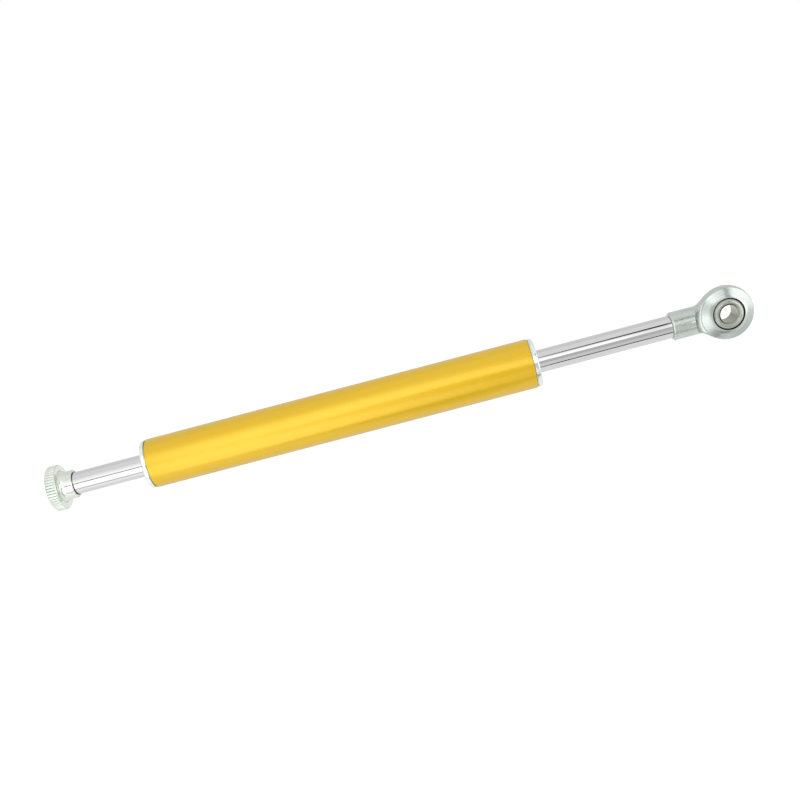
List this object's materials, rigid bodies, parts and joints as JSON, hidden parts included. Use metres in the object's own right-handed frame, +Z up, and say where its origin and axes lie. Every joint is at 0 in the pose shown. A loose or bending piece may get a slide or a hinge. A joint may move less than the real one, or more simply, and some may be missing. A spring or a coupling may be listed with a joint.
{
  "type": "motorcycle steering damper",
  "caption": "Linear through-rod steering damper: gold tube barrel with polished end caps, chromed rod, knurled adjuster knob at one end and a spherical rod end at the other.",
  "frame": {"origin": "middle of the barrel tube, on its axis", "axes": "+X along the rod towards the rod end, -X towards the knob, +Z up, the rod end's bolt hole along Y"},
  "size_m": [0.3192, 0.022, 0.024],
  "materials": {
    "gold_anodised": "satin gold anodising over fine turning lines",
    "polished_aluminium": "turned and polished, bare",
    "hard_chrome": "ground and hard chromed, mirror bright",
    "zinc_plated_steel": "bright zinc plate over a forged shank and a turned head",
    "bearing_steel": "ground",
    "spring_steel": "dark oiled",
    "bronze": "turned, oiled",
    "needle_brass": "turned",
    "black_rubber": "smooth, oiled",
    "slide_plastic": "smooth"
  },
  "bodies": {
    "barrel": {"barrel_tube": "gold_anodised", "front_end_cap": "polished_aluminium", "rear_end_cap": "polished_aluminium", "front_cap_o_ring": "black_rubber", "rear_cap_o_ring": "black_rubber", "front_wiper": "black_rubber", "rear_wiper": "black_rubber", "front_rod_seal": "black_rubber", "rear_rod_seal": "black_rubber", "front_seal_washer": "spring_steel", "rear_seal_washer": "spring_steel", "front_guide_bush": "bronze", "rear_guide_bush": "bronze", "front_bush_circlip": "spring_steel", "rear_bush_circlip": "spring_steel"},
    "piston": {"piston": "polished_aluminium", "piston_ring": "slide_plastic", "piston_o_ring": "black_rubber"},
    "rod": {"piston_rod": "hard_chrome", "piston_washers": "spring_steel", "piston_circlips": "spring_steel", "rod_end_housing": "zinc_plated_steel", "rod_end_race": "bearing_steel", "click_balls": "bearing_steel", "click_springs": "spring_steel"},
    "knob": {"adjuster_knob": "polished_aluminium", "knob_snap_ring": "spring_steel"},
    "needle": {"adjuster_needle": "needle_brass", "needle_o_ring": "black_rubber"},
    "ball": {"rod_end_ball": "bearing_steel"}
  },
  "joints": [
    {"name": "rod_slide", "type": "slide", "parent": "barrel", "child": "piston", "axis": [1, 0, 0], "range_m": [-0.053, 0.029]},
    {"name": "rod_spin", "type": "hinge", "parent": "piston", "child": "rod", "pos_m": [0, 0, 0], "axis": [1, 0, 0], "continuous": true},
    {"name": "knob_turn", "type": "hinge", "parent": "rod", "child": "knob", "pos_m": [-0.128, 0, 0], "axis": [1, 0, 0], "range_deg": [-540, 540]},
    {"name": "needle_travel", "type": "slide", "parent": "knob", "child": "needle", "axis": [1, 0, 0], "range_m": [-0.00105, 0.00105]},
    {"name": "ball_swivel", "type": "hinge", "parent": "rod", "child": "ball", "pos_m": [0.1744, 0, 0], "axis": [0, 0, 1], "range_deg": [-13, 13]}
  ],
  "couplings": [
    {"joint": "needle_travel", "follows": "knob_turn", "m_per_rad": 0.00011141}
  ]
}
